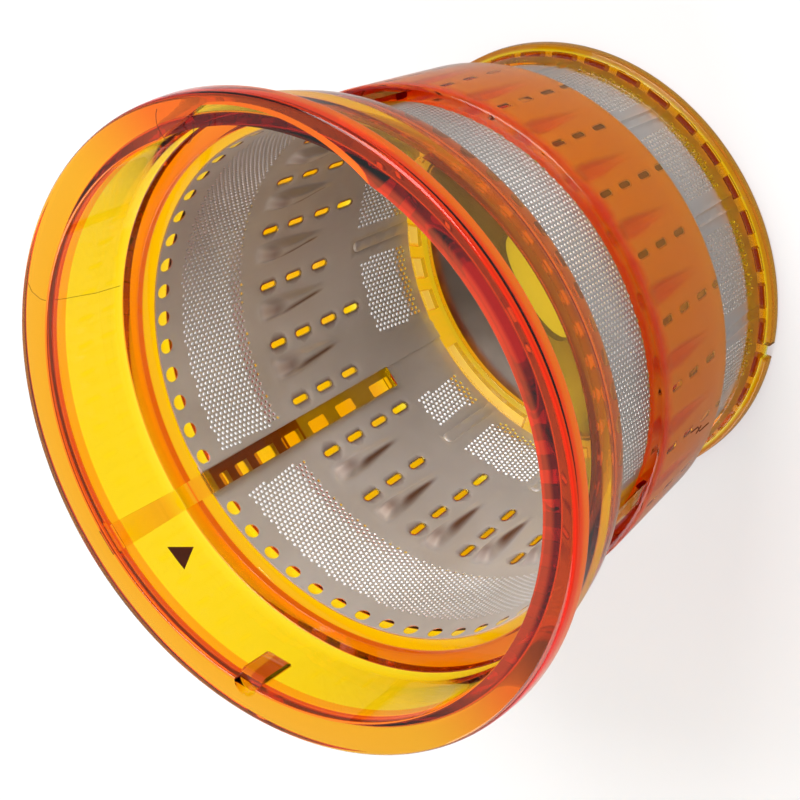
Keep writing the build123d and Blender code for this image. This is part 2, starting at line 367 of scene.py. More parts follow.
def finished(name, bm, material, sharp_degrees=35.0):
    """A finished object: millimetres to metres, smooth shading with crisp edges."""
    bmesh.ops.transform(bm, matrix=Matrix.Scale(MM, 4), verts=list(bm.verts))
    for f in bm.faces:
        f.smooth = True
    for e in bm.edges:
        if len(e.link_faces) == 2 and e.calc_face_angle(0.0) > math.radians(sharp_degrees):
            e.smooth = False
    mesh = bpy.data.meshes.new(name)
    bm.to_mesh(mesh)
    bm.free()
    mesh.materials.append(material)
    obj = bpy.data.objects.new(name, mesh)
    bpy.context.scene.collection.objects.link(obj)
    return obj


def thread(points, radius):
    """A thin round line through points, in millimetres."""
    curve = bpy.data.curves.new("line", "CURVE")
    curve.dimensions = "3D"
    curve.bevel_depth = radius
    curve.bevel_resolution = 1
    curve.use_fill_caps = True
    spline = curve.splines.new("POLY")
    spline.points.add(len(points) - 1)
    for slot, place in zip(spline.points, points):
        slot.co = (place[0], place[1], place[2], 1.0)
    obj = bpy.data.objects.new("line", curve)
    mesh = bpy.data.meshes.new_from_object(obj)
    bm = bmesh.new()
    bm.from_mesh(mesh)
    bpy.data.objects.remove(obj)
    bpy.data.curves.remove(curve)
    bpy.data.meshes.remove(mesh)
    return bm


def scratch(name, bm):
    """A temporary object in millimetres, for a boolean."""
    mesh = bpy.data.meshes.new(name)
    bm.to_mesh(mesh)
    bm.free()
    obj = bpy.data.objects.new(name, mesh)
    bpy.context.scene.collection.objects.link(obj)
    return obj


def combine(base, steps):
    """Joins or cuts scratch shapes in order and returns the result as a bmesh."""
    body = scratch("body", base)
    tools = []
    for i, (operation, bm) in enumerate(steps):
        tool = scratch(f"tool_{i}", bm)
        tools.append(tool)
        mod = body.modifiers.new(f"step_{i}", "BOOLEAN")
        mod.operation = operation
        mod.solver = "MANIFOLD"
        mod.object = tool
    graph = bpy.context.evaluated_depsgraph_get()
    mesh = bpy.data.meshes.new_from_object(body.evaluated_get(graph))
    out = bmesh.new()
    out.from_mesh(mesh)
    bpy.data.meshes.remove(mesh)
    for obj in [body] + tools:
        data = obj.data
        bpy.data.objects.remove(obj)
        bpy.data.meshes.remove(data)
    return out


# Materials


def node_material(name):
    """A new material, its node tree and its main shader."""
    mat = bpy.data.materials.new(name)
    mat.use_nodes = True
    tree = mat.node_tree
    return mat, tree, tree.nodes["Principled BSDF"]


def feed(tree, socket, value):
    """Links another socket to an input, or sets a plain value on it."""
    if isinstance(value, bpy.types.NodeSocket):
        tree.links.new(value, socket)
    else:
        socket.default_value = value


def math_node(tree, operation, *values):
    """A math node. Each value is a socket or a number."""
    node = tree.nodes.new("ShaderNodeMath")
    node.operation = operation
    for socket, value in zip(node.inputs, values):
        feed(tree, socket, value)
    return node.outputs[0]


def both(tree, first, second):
    """The product of two masks."""
    return math_node(tree, "MULTIPLY", first, second)


def either(tree, first, second):
    """The larger of two masks."""
    return math_node(tree, "MAXIMUM", first, second)


def ramp_node(tree, value, start, end, low, high):
    """A smooth change from one level to another."""
    node = tree.nodes.new("ShaderNodeMapRange")
    node.interpolation_type = "SMOOTHSTEP"
    inputs = (("From Min", start), ("From Max", end), ("To Min", low), ("To Max", high))
    for name, amount in (("Value", value),) + inputs:
        feed(tree, node.inputs[name], amount)
    return node.outputs["Result"]


def edge_mask(tree, place, start, end, low=0.0, high=1.0):
    """A smooth change of level between two places in millimetres."""
    return ramp_node(tree, place, start * MM, end * MM, low, high)


def band_mask(tree, place, centre, half, soft):
    """One within half of a centre in millimetres, falling to nought over a soft edge."""
    away = math_node(tree, "ABSOLUTE", math_node(tree, "SUBTRACT", place, centre * MM))
    return edge_mask(tree, away, half, half + soft, 1.0, 0.0)


def coordinate(tree, kind, axis):
    """One axis of a texture coordinate."""
    place = tree.nodes.new("ShaderNodeTexCoord")
    split = tree.nodes.new("ShaderNodeSeparateXYZ")
    tree.links.new(place.outputs[kind], split.inputs[0])
    return split.outputs[axis]


def distance(tree, first, second):
    """The root of the sum of two squares."""
    squares = math_node(tree, "ADD", both(tree, first, first), both(tree, second, second))
    return math_node(tree, "SQRT", squares)


def noise_node(tree, scale, detail, stretch=(1.0, 1.0, 1.0)):
    """The grey value of a noise by object place, stretched along the axes."""
    place = tree.nodes.new("ShaderNodeTexCoord").outputs["Object"]
    if stretch != (1.0, 1.0, 1.0):
        mapping = tree.nodes.new("ShaderNodeMapping")
        mapping.inputs["Scale"].default_value = stretch
        tree.links.new(place, mapping.inputs["Vector"])
        place = mapping.outputs["Vector"]
    noise = tree.nodes.new("ShaderNodeTexNoise")
    noise.inputs["Scale"].default_value = scale
    noise.inputs["Detail"].default_value = detail
    tree.links.new(place, noise.inputs["Vector"])
    return noise.outputs["Fac"]


def mixed(tree, factor, first, second):
    """A mix of two colours, each a socket or a plain colour."""
    mix = tree.nodes.new("ShaderNodeMix")
    mix.data_type = "RGBA"
    for name, value in (("Factor", factor), ("A", first), ("B", second)):
        feed(tree, mix.inputs[name], value)
    return mix.outputs["Result"]


def seen_through(tree):
    """One for camera and transmission rays, nought for the others; and the gloss factor."""
    path = tree.nodes.new("ShaderNodeLightPath")
    direct = either(tree, path.outputs["Is Camera Ray"], path.outputs["Is Transmission Ray"])
    return direct, path.outputs["Is Glossy Ray"]


def painted_amber_light(tree, shader):
    """Deeper colour and a weak glow by place on the moulding, set after the photo.

    They are painted light: painted red, painted shade and a painted glow that stand for light led
    a long way inside the real plastic. The red of the rim's +Y half matches the photo's view and
    stays there in other views too.
    """
    x, y, z = (coordinate(tree, "Object", axis) for axis in "XYZ")
    r = distance(tree, x, y)
    inner = edge_mask(tree, r, WALL_TOP_R + 0.3, WALL_TOP_R + 0.5, 1.0, 0.0)
    lip = both(tree, inner, edge_mask(tree, z, RIM_LOW_Z - 0.9, RIM_LOW_Z - 0.7))
    ledge = both(
        tree, edge_mask(tree, r, WALL_LOW_R, WALL_LOW_R + 0.2, 1.0, 0.0),
        band_mask(tree, z, LEDGE_Z, 0.1, 0.1),
    )
    front = both(
        tree, edge_mask(tree, y, -12.0, 16.0),
        edge_mask(tree, z, RIM_LOW_Z + 1.2, RIM_LOW_Z + 2.2),
    )
    lines = both(tree, inner, band_mask(tree, z, HEIGHT - 2.1, 0.2, 0.2))
    step = both(
        tree, band_mask(tree, r, LEDGE_R, 0.3, 0.2), band_mask(tree, z, LEDGE_Z - 0.7, 0.5, 0.3)
    )
    flange = both(
        tree, edge_mask(tree, r, FOOT_R - 1.1, FOOT_R - 0.6),
        edge_mask(tree, z, FLANGE_TOP_Z + 0.3, FLANGE_TOP_Z + 0.5, 1.0, 0.0),
    )
    # Painted light and shade: each place mixes in a painted red or a painted shade for light led
    # inside the plastic, not a colour of the plastic itself
    color = (1.0, 1.0, 1.0, 1.0)
    for mask, tint in (
        (either(tree, lip, ledge), LIP_PAINTED_LIGHT), (front, FRONT_PAINTED_LIGHT),
        (either(tree, lines, step), LINE_PAINTED_SHADE), (flange, FLANGE_PAINTED_SHADE),
        (lug_mask(tree, x, y, z), LUG_PAINTED_SHADE), (bar_mask(tree, x, y, z, r), BAR_PAINTED_SHADE),
    ):
        color = mixed(tree, mask, color, tint)
    tree.links.new(color, shader.inputs["Base Color"])
    # Painted glow: emission on the rim's front, the lip's top and the foot's pockets stands for
    # light led inside the plastic, which is no lamp
    led = both(
        tree, front, edge_mask(tree, r, WALL_TOP_R + 1.4, WALL_TOP_R + 2.6, GLOW_FRONT, 0.0)
    )
    top = both(
        tree, inner, edge_mask(tree, z, RIM_LOW_Z + 1.0, RIM_LOW_Z + 1.6, 0.0, GLOW_LIP)
    )
    pockets = both(
        tree,
        band_mask(tree, r, sum(POCKET) / 2, (POCKET[1] - POCKET[0]) / 2 + 0.1, 0.1),
        edge_mask(tree, z, POCKET_TOP_Z + 0.1, POCKET_TOP_Z + 0.2, GLOW_POCKETS, 0.0),
    )
    shader.inputs["Emission Color"].default_value = GLOW_COLOR
    glow = either(tree, either(tree, led, top), pockets)
    tree.links.new(glow, shader.inputs["Emission Strength"])


def lug_mask(tree, x, y, z):
    """One on the lug of the mouth's wall."""
    centre = polar(LUG_R * MM, LUG_ANGLE, 0.0)
    away = [
        math_node(tree, "SUBTRACT", value, part) for value, part in ((x, centre.x), (y, centre.y))
    ]
    near = edge_mask(tree, distance(tree, *away), 2.4, 2.7, 1.0, 0.0)
    return both(tree, near, band_mask(tree, z, 81.2, 4.2, 0.2))


def bar_mask(tree, x, y, z, r):
    """One on the upper part of the seam bar, nought over its windows."""
    base = steel_r(0.0) * MM
    sheet = math_node(tree, "ADD", both(tree, z, STEEL_SLOPE), base)
    depth = math_node(tree, "SUBTRACT", sheet, r)
    mask = both(tree, edge_mask(tree, depth, 0.5, 0.8), band_mask(tree, z, 53.2, 10.8, 0.4))
    turn = math.radians(BAR_ANGLE)
    across = math_node(
        tree, "ADD", both(tree, x, -math.sin(turn)), both(tree, y, math.cos(turn))
    )
    for top, low in WINDOWS[:4]:
        hole = both(
            tree, band_mask(tree, across, 0.8, WINDOW_WIDTH / 2, 0.1),
            band_mask(tree, z, HEIGHT - (top + low) / 2, (low - top) / 2, 0.1),
        )
        mask = both(tree, mask, math_node(tree, "SUBTRACT", 1.0, hole))
    return mask


def amber_material(settings):
    """Clear plastic that takes up light by its depth. Its polish varies a little."""
    mat, tree, shader = node_material("amber_clear")
    mat.cycles.emission_sampling = "NONE"
    painted_amber_light(tree, shader)
    shader.inputs["IOR"].default_value = AMBER_IOR
    shader.inputs["Transmission Weight"].default_value = 1.0
    rough = ramp_node(tree, noise_node(tree, 90.0, 1.0), 0.3, 0.7, 0.0, 0.02)
    tree.links.new(rough, shader.inputs["Roughness"])
    tint = tree.nodes.new("ShaderNodeVolumeAbsorption")
    tint.inputs["Color"].default_value = tuple(settings.amber_tint) + (1.0,)
    tint.inputs["Density"].default_value = settings.amber_density
    tree.links.new(tint.outputs["Volume"], tree.nodes["Material Output"].inputs["Volume"])
    return mat


def steel_material(settings):
    """Satin steel with fine rolling streaks and brownish clouds.

    The painted brown at the ridges, round the slots and on the -X side is painted reflection and
    painted shade: it stands for the amber that the real sheet mirrors there in the photo's view.
    """
    mat, tree, shader = node_material("screen_steel")
    cloud = noise_node(tree, 45.0, 3.0)
    streak = noise_node(tree, 1500.0, 1.0, (1.0, 1.0, 0.06))
    dark, pale = (
        tuple(tone * share for tone, share in zip(settings.steel_color, shares)) + (1.0,)
        for shares in ((0.93, 0.91, 0.89), (1.05, 1.05, 1.06))
    )
    color = mixed(tree, ramp_node(tree, cloud, 0.35, 0.65, 0.0, 1.0), dark, pale)
    # Painted reflection and painted shade: the level kept on the sheet and the -X side mix in the
    # brown and make the steel less metallic
    attribute = tree.nodes.new("ShaderNodeAttribute")
    attribute.attribute_name = "painted_reflection_and_shade"
    painted_level = attribute.outputs["Fac"]
    side = edge_mask(tree, coordinate(tree, "Object", "X"), -12.0, -40.0, 0.0, 0.42)
    shade = both(tree, side, ramp_node(tree, cloud, 0.3, 0.7, 0.5, 1.2))
    color = mixed(tree, either(tree, painted_level, shade), color, PAINTED_REFLECTION_BROWN)
    tree.links.new(color, shader.inputs["Base Color"])
    metal = math_node(tree, "MULTIPLY_ADD", painted_level, -0.5, 0.6)
    tree.links.new(metal, shader.inputs["Metallic"])
    rough = ramp_node(tree, streak, 0.3, 0.7, 0.38, 0.46)
    tree.links.new(rough, shader.inputs["Roughness"])
    return mat


def clouded_material(name, scale, detail, first, second, roughness):
    """A material whose colour wanders between two tones, and its main shader."""
    mat, tree, shader = node_material(name)
    color = mixed(tree, noise_node(tree, scale, detail), first, second)
    tree.links.new(color, shader.inputs["Base Color"])
    shader.inputs["Roughness"].default_value = roughness
    return mat, shader


def mark_material():
    """Brown of the pointer and of the moulding's fine lines."""
    tones = (0.05, 0.012, 0.005, 1.0), (0.11, 0.02, 0.008, 1.0)
    return clouded_material("mark_brown", 900.0, 2.0, *tones, 0.45)[0]


def plate_material():
    """Darker steel of the small end's floor, its tone wandering between two tones."""
    tones = (0.16, 0.13, 0.11, 1.0), (0.42, 0.38, 0.34, 1.0)
    mat, shader = clouded_material("plate_steel", 60.0, 4.0, *tones, 0.36)
    shader.inputs["Metallic"].default_value = 1.0
    return mat


def covered_steel_material():
    """Outer face of the steel under the band, with painted light: matt near-white that brightens
    the band, and a painted deep red at the band's top.
    """
    mat, tree, shader = node_material("covered_steel")
    shader.inputs["Roughness"].default_value = 0.6
    # Painted light: the pale face and the red at the band's top stand for light in the band, not
    # a colour of the steel
    shift = both(tree, noise_node(tree, 140.0, 3.0), 4.0 * MM)
    height = math_node(tree, "ADD", coordinate(tree, "Object", "Z"), shift)
    fade = edge_mask(tree, height, *PAINTED_RED_Z)
    color = mixed(tree, fade, (1.0, 0.97, 0.9, 1.0), (0.95, 0.16, 0.03, 1.0))
    tree.links.new(color, shader.inputs["Base Color"])
    return mat


def floor_material():
    """Pale floor, white to the camera and through the plastic. Its front is dimmer in gloss."""
    mat, tree, shader = node_material("studio_floor")
    shader.inputs["Roughness"].default_value = 0.9
    shader.inputs["Specular IOR Level"].default_value = 0.0
    shader.inputs["Emission Color"].default_value = (1.0, 1.0, 1.0, 1.0)
    direct, gloss = seen_through(tree)
    y = coordinate(tree, "Object", "Y")
    tone = ramp_node(tree, y, *SIDE_Y, FLOOR_FRONT, FLOOR_TONE)
    tone = either(tree, tone, both(tree, direct, FLOOR_TONE))
    grey = tree.nodes.new("ShaderNodeCombineColor")
    for name in ("Red", "Green", "Blue"):
        tree.links.new(tone, grey.inputs[name])
    tree.links.new(grey.outputs["Color"], shader.inputs["Base Color"])
    behind = ramp_node(tree, y, *SIDE_Y, 0.0, FLOOR_GLOSS)
    lift = either(tree, both(tree, direct, FLOOR_LIFT), both(tree, gloss, behind))
    tree.links.new(lift, shader.inputs["Emission Strength"])
    return mat


def sky(world):
    """Soft light, bright behind the object and dim on the camera's side."""
    tree = world.node_tree
    y = coordinate(tree, "Generated", "Y")
    level = ramp_node(tree, y, *SKY_TURN, SKY_FRONT, SKY_BACK)
    direct = seen_through(tree)[0]
    background = tree.nodes["Background"]
    background.inputs["Color"].default_value = (1.0, 1.0, 1.0, 1.0)
    tree.links.new(either(tree, level, direct), background.inputs["Strength"])


# Pieces


class StrainerSettings(bpy.types.PropertyGroup):
    """Sizes and colours of the strainer basket."""

    amber_tint: FloatVectorProperty(
        name="Amber tint", description="Colour that the clear plastic lets through",
        default=(0.987, 0.913, 0.005), size=3, subtype="COLOR", min=0.0, max=1.0,
    )
    amber_density: FloatProperty(
        name="Amber density", description="How strongly a metre of plastic takes up light",
        default=2300.0, min=0.0,
    )
    steel_color: FloatVectorProperty(
        name="Steel colour", description="Colour of the steel sheet",
        default=(0.8, 0.785, 0.765), size=3, subtype="COLOR", min=0.0, max=1.0,
    )
    turn_steps: IntProperty(
        name="Steps of a turn", description="Flats round the moulded frame",
        default=216, min=24, max=720,
    )


def cone_corner(z, offset, rounding=0):
    """A corner of a section, at an offset from the cone's inner face."""
    return steel_r(z, offset), z, rounding


def bowl_mesh(steps):
    """The rim, the mouth's wall, the ledge and the collar. Its underside hangs lower."""
    return ring([
        (WALL_TOP_R, HEIGHT, 0.35), (RIM_R, HEIGHT, 0.9), (RIM_R, RIM_LOW_Z, 0.3),
        (52.6, RIM_LOW_Z, 0.5), (52.2, 69.2, 0.4), (51.4, 66.2, 0.4), (50.6, 63.6, 0.4),
        (47.6, 62.4, 0.4), cone_corner(COLLAR_LOW_Z, 1.9, 0.3), cone_corner(COLLAR_LOW_Z, FILL),
        cone_corner(STEEL_TOP_Z, FILL), (LEDGE_R, 66.2, 0.12), (LEDGE_R, LEDGE_Z, 0.15),
        (WALL_LOW_R, LEDGE_Z, 0.25),
    ], steps)


def band_mesh():
    """The sleeve round the slotted zone. Its inner face fills the ridges' hollows."""
    bm = ring([cone_corner(19.0 + 1.25 * i, FILL) for i in range(20)] + [
        cone_corner(BAND_TOP_Z, FILL), cone_corner(BAND_TOP_Z, BAND_OUT, 0.8),
        cone_corner(20.3, BAND_OUT, 0.6), cone_corner(BAND_END_Z, 0.8, 0.2),
        cone_corner(BAND_END_Z, FILL),
    ], 540)
    for v in bm.verts:
        r = math.hypot(v.co.x, v.co.y)
        if r < steel_r(v.co.z, FILL + 0.1):
            around = SEAM_ANGLE - math.degrees(math.atan2(v.co.y, v.co.x))
            depth = ridge_height(around % 360.0, HEIGHT - v.co.z)
            v.co.x *= (r - depth) / r
            v.co.y *= (r - depth) / r
    return bm


def foot_mesh(steps):
    """The ring round the small end, with its flange."""
    return ring([
        cone_corner(RING_TOP_Z, FILL), cone_corner(RING_TOP_Z, 1.0, 0.25),
        (FLANGE_R, 2.6, 0), (FLANGE_R, FLANGE_TOP_Z, 0.2), (FOOT_R, FLANGE_TOP_Z, 0.3),
        (FOOT_R, 0.0, 0.3), (FOOT_INNER_R, 0.0, 0.3), (FOOT_INNER_R, STEEL_LOW_Z, 0.3),
        cone_corner(STEEL_LOW_Z, FILL),
    ], steps)


def outer_rib(angle, top, low):
    """An upright rib on the outside of the cone, between two heights."""
    points = [
        (steel_r(top, FILL), top), (steel_r(top, 2.1), top),
        (steel_r(low, 2.1), low), (steel_r(low, FILL), low),
    ]
    return web(points, RIB_WIDTH, angle)


def seam_web(points):
    """A web at the seam, which is wider on the mouth's wall."""
    bm = web(points, BAR_WIDTH, 0.0)
    for v in bm.verts:
        v.co.y *= 1.0 + 0.2 * smooth((v.co.z - 68.0) / 16.0)
    turn = Matrix.Rotation(math.radians(BAR_ANGLE), 3, "Z")
    bmesh.ops.rotate(bm, verts=list(bm.verts), cent=(0, 0, 0), matrix=turn)
    return bm


def seam_bar():
    """The bar over the seam. It grows out of the mouth's wall and runs down the cone."""
    low = 18.0
    return seam_web([
        (51.1, 83.9), (50.65, 83.6), (49.6, 68.9), (49.2, 68.3), (LEDGE_R, 68.3), (46.2, 67.0),
        (steel_r(STEEL_TOP_Z, -1.3), STEEL_TOP_Z + 1.0), (steel_r(low, -1.2), low),
        (steel_r(low, 0.1), low), (steel_r(STEEL_TOP_Z, 0.1), STEEL_TOP_Z), (47.3, 66.4),
        (51.1, 66.4),
    ])


def seam_strip():
    """The thicker strip outside the mouth's wall, where the seam bar grows out of it."""
    return seam_web([(51.0, 66.6), (51.6, 66.6), (53.9, 69.6), (53.9, 83.4), (51.5, 83.4)])


def anchor_places():
    """Degrees from the seam of every anchor hole. None is at the seam itself."""
    return [360.0 / ANCHORS * i for i in range(1, ANCHORS)]


def plugs():
    """The plastic that fills the slots, the anchor holes and the windows of the steel."""
    made = [
        plug(a, d, slot_shape(SLOT_LENGTH, SLOT_WIDTH), -0.02, 0.6) for a, d in slot_places()
    ]
    for around in anchor_places():
        made.append(plug(around, ANCHOR_DOWN, circle_shape(ANCHOR_R, 20), 0.03, 0.6))
    for top, low in WINDOWS:
        shape = window_shape(low - top, WINDOW_WIDTH)
        made.append(plug(360.0, (top + low) / 2, shape, -0.3, 0.6))
    return merged(made)


def lug():
    """The boss on the mouth's wall, below the half round bite of the rim."""
    points = [
        (51.3, 84.8), (50.2, 84.8), (49.6, 84.0), (49.6, 77.9), (50.2, 76.9), (51.3, 76.9),
    ]
    return web(points, RIB_WIDTH, LUG_ANGLE)


def relief():
    """The long hollow of the rim's inner edge, with a slanted end."""
    bm = disc(36.9, 83.8, 88.0, 18.0, 150.0, 240)
    first = Matrix.Rotation(math.radians(156.9), 3, "Z") @ Vector((53.8, 0, 85))
    second = Matrix.Rotation(math.radians(165.8), 3, "Z") @ Vector((51.2, 0, 85))
    normal = (second - first).cross(Vector((0, 0, 1)))
    if normal.dot(first) > 0:
        normal.negate()
    cut = bmesh.ops.bisect_plane(
        bm, geom=list(bm.verts) + list(bm.edges) + list(bm.faces), plane_co=first,
        plane_no=normal, clear_inner=True,
    )
    edges = [g for g in cut["geom_cut"] if isinstance(g, bmesh.types.BMEdge)]
    bmesh.ops.edgeloop_fill(bm, edges=edges)
    bmesh.ops.recalc_face_normals(bm, faces=list(bm.faces))
    return bm


def foot_cuts():
    """The pockets in the ring's underside and the notch of its flange."""
    made = [arc_block(*POCKET, -1.0, POCKET_TOP_Z, 270.0, 302.0, 24)]
    for i in range(36):
        middle = 10.0 * i + 5.0
        if not 260.0 < middle < 308.0:
            made.append(arc_block(*POCKET, -1.0, POCKET_TOP_Z, middle - 3.1, middle + 3.1))
    made.append(arc_block(FLANGE_R, 43.0, -1.0, 3.0, 38.5, 42.5))
    return merged(made)


class STRAINER_OT_amber_frame(bpy.types.Operator):
    """Make the clear amber moulding"""

    bl_idname = "strainer.amber_frame"
    bl_label = "Amber frame"

    def execute(self, context):
        settings = context.scene.strainer
        steps = settings.turn_steps
        rings = merged([bowl_mesh(steps), band_mesh(), foot_mesh(steps)])
        ribs = [outer_rib(SEAM_ANGLE + 120.0 * i, 61.8, 43.9) for i in range(3)]
        ribs.append(outer_rib(SEAM_ANGLE, 18.4, 5.1))
        bite = disc(2.3, 84.8, 88.0, WALL_TOP_R, LUG_ANGLE)
        bm = combine(rings, [
            ("UNION", merged(ribs)), ("UNION", plugs()), ("UNION", seam_bar()),
            ("UNION", seam_strip()), ("UNION", lug()),
            ("DIFFERENCE", bite), ("DIFFERENCE", relief()), ("DIFFERENCE", foot_cuts()),
        ])
        obj = finished("amber_moulding", bm, amber_material(settings))
        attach(obj, "root")
        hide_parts("amber_frame")
        return {"FINISHED"}


def on_wall(around, down, offset=0.0):
    """A point of the mouth's wall in space, in millimetres."""
    slope = (WALL_TOP_R - WALL_LOW_R) / (HEIGHT - LEDGE_Z)
    return polar(WALL_TOP_R - slope * down + offset, SEAM_ANGLE - around, HEIGHT - down)


def triangle_mark():
    """The plain pointer on the mouth's wall, a thin patch that follows the wall."""
    bm = bmesh.new()
    corners = ((-11.4, 10.5, 0.0), (-5.8, 10.5, 0.0), (-8.5, 15.3, 0.0))
    bm.faces.new([bm.verts.new(c) for c in corners])
    bmesh.ops.subdivide_edges(bm, edges=list(bm.edges), cuts=5, use_grid_fill=True)
    for v in bm.verts:
        v.co = on_wall(v.co.x, v.co.y, -0.03)
    bmesh.ops.recalc_face_normals(bm, faces=list(bm.faces))
    first = next(iter(bm.faces))
    middle = first.calc_center_median()
    if first.normal.dot(Vector((middle.x, middle.y, 0.0))) > 0:
        bmesh.ops.reverse_faces(bm, faces=list(bm.faces))
    bmesh.ops.solidify(bm, geom=list(bm.faces), thickness=0.12)
    bmesh.ops.recalc_face_normals(bm, faces=list(bm.faces))
    return bm


def flow_lines():
    """Thin lines of the moulding: on the rim and wall, round the rim's mark, and on the band."""
    made = []
    rim = ((55.6, 216.5), (54.5, 217.8), (52.6, 218.3), (51.3, 218.0))
    made.append(thread([polar(r, turn, HEIGHT) for r, turn in rim], 0.05))
    wall = ((51.8, 1.5), (51.0, 4.0), (50.3, 6.7), (48.9, 12.0), (48.0, 18.0))
    made.append(thread([on_wall(*place) for place in wall], 0.045))
    centre = polar(52.7, 161.5, HEIGHT)
    for start, end in ((208, 292), (0, 62)):
        angles = [start + (end - start) * i / 12 for i in range(13)]
        made.append(thread([centre + polar(3.9, a, 0.0) for a in angles], 0.06))
    gate, gate_down = -126.5, 58.0
    for dx, dy, ex, ey in (
        (-1.2, -0.6, 0.9, 0.8), (0.9, 0.8, 1.2, 4.6), (-1.2, -0.6, -1.6, -3.6),
        (-0.6, 0.9, 0.5, -0.7),
    ):
        made.append(thread([
            on_cone(gate + dx, gate_down + dy, BAND_OUT),
            on_cone(gate + ex, gate_down + ey, BAND_OUT),
        ], 0.11))
    return merged(made)


class STRAINER_OT_marks(bpy.types.Operator):
    """Make the pointer and the fine lines of the moulding"""

    bl_idname = "strainer.marks"
    bl_label = "Marks"

    def execute(self, context):
        mat = mark_material()
        for name, bm in (("pointer_mark", triangle_mark()), ("flow_lines", flow_lines())):
            obj = finished(name, bm, mat)
            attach(obj, "root")
        return {"FINISHED"}


class Punching:
    """Outlines of holes and the points between them, on the unrolled sheet."""

    def __init__(self, top, low):
        self.top, self.low = top, low
        self.points, self.owner, self.edges, self.round_holes = [], [], [], {}
        self.count = 0

    def point(self, around, down, owner=-1):
        self.points.append(Vector((around * ACROSS, down)))
        self.owner.append(owner)

    def outline(self, around, down, shape):
        """A hole: its shape is a list of offsets in millimetres, across and down."""
        first = len(self.points)
        wide = math.degrees(1.0 / steel_r(HEIGHT - down))
        for x, y in shape:
            self.point(around + x * wide, down + y, self.count)
        self.edges += [(first + i, first + (i + 1) % len(shape)) for i in range(len(shape))]
        reach = max(math.hypot(x, y) for x, y in shape)
        cell = (round(around / 2.0), round(down / 2.0))
        self.round_holes.setdefault(cell, []).append((around, down, reach))
        self.count += 1

    def free(self, around, down, gap=0.35):
        """Whether a place is clear of every hole."""
        cell = (round(around / 2.0), round(down / 2.0))
        for i in (-1, 0, 1):
            for j in (-1, 0, 1):
                for a, d, reach in self.round_holes.get((cell[0] + i, cell[1] + j), ()):
                    if math.hypot((around - a) * ACROSS, down - d) < reach + gap:
                        return False
        return True

    def around_shape(self, around, down, shape):
        """Free points along a shape, which carry the bend of the sheet there."""
        wide = math.degrees(1.0 / steel_r(HEIGHT - down))
        for x, y in shape:
            if self.free(around + x * wide, down + y, 0.15):
                self.point(around + x * wide, down + y)

    def tongue(self, around):
        """Free points on both sides of a tongue's outline."""
        for out in (-0.3, 0.0, 0.3):
            half, corner = TONGUE_HALF + out, TONGUE_CORNER + out
            top = TONGUE_TOP + TONGUE_CORNER
            path = []
            for i in range(24):
                path += [(-half, top + 0.5 * i), (half, top + 0.5 * i)]
            for i in range(1, 8):
                a = math.pi * i / 8
                flat = TONGUE_HALF - TONGUE_CORNER
                shift = flat if a < math.pi / 2 else -flat
                path.append((corner * math.cos(a) + shift, top - corner * math.sin(a)))
            for x, down in path:
                place = around + x * math.degrees(1.0 / steel_r(HEIGHT - down))
                if down < self.low - 0.4 and self.free(place, down, 0.1):
                    self.point(place, down)

    def border(self):
        """The sheet's own outline, with points close enough to bend round."""
        steps = 360
        first = len(self.points)
        span = LAP_END - LAP_START
        for i in range(steps):
            self.point(LAP_START + span * i / steps, self.top)
        rows = 30
        for j in range(rows):
            self.point(LAP_END, self.top + (self.low - self.top) * j / rows)
        for i in range(steps):
            self.point(LAP_END - span * i / steps, self.low)
        for j in range(rows):
            self.point(LAP_START, self.low - (self.low - self.top) * j / rows)
        total = len(self.points) - first
        self.edges += [(first + i, first + (i + 1) % total) for i in range(total)]

    def fill(self, around_step, down_step, top, low, keep=lambda a, d: True):
        """Points between the holes, so that the sheet bends and the ridges stand."""
        rows = int((low - top) / down_step)
        columns = int((LAP_END - LAP_START) / around_step)
        for j in range(rows + 1):
            down = top + down_step * j
            if not self.top + 0.3 < down < self.low - 0.3:
                continue
            for i in range(1, columns):
                around = LAP_START + around_step * (i + 0.5 * (j % 2))
                if around < LAP_END - 0.4 and keep(around, down) and self.free(around, down):
                    self.point(around, down)

    def sheet(self):
        """The filled sheet, rolled to the cone and pressed, as a closed thin shell."""
        out = delaunay_2d_cdt(self.points, self.edges, [], 1, 1e-5)
        places, faces, origins = out[0], out[2], out[3]
        owner = [self.owner[o[0]] if o else -1 for o in origins]
        bm = bmesh.new()
        # Each point of the sheet keeps its level of painted reflection and painted shade
        layer = bm.verts.layers.float.new("painted_reflection_and_shade")
        for p in places:
            around = p.x / ACROSS
            pressed = ridge_height(around, p.y) + bead_height(around, p.y) + lap_height(around)
            pressed += slot_dimple(around, p.y)
            bm.verts.new(on_cone(around, p.y, -pressed))[layer] = painted_reflection_and_shade(around, p.y)
        bm.verts.ensure_lookup_table()
        for face in faces:
            owners = {owner[i] for i in face}
            if len(owners) == 1 and -1 not in owners:
                continue
            bm.faces.new([bm.verts[i] for i in face])
        bmesh.ops.recalc_face_normals(bm, faces=list(bm.faces))
        sample = max(bm.faces, key=lambda f: f.calc_area())
        middle = sample.calc_center_median()
        if sample.normal.dot(Vector((middle.x, middle.y, 0.0))) < 0:
            bmesh.ops.reverse_faces(bm, faces=list(bm.faces))
        bmesh.ops.solidify(bm, geom=list(bm.faces), thickness=-VISIBLE_SHEET)
        loose = [v for v in bm.verts if not v.link_faces]
        bmesh.ops.delete(bm, geom=loose, context="VERTS")
        bmesh.ops.recalc_face_normals(bm, faces=list(bm.faces))
        return bm


def circle_shape(radius, sides):
    """A round hole."""
    angles = [math.tau * i / sides + math.pi / sides for i in range(sides)]
    return [(radius * math.cos(a), radius * math.sin(a)) for a in angles]


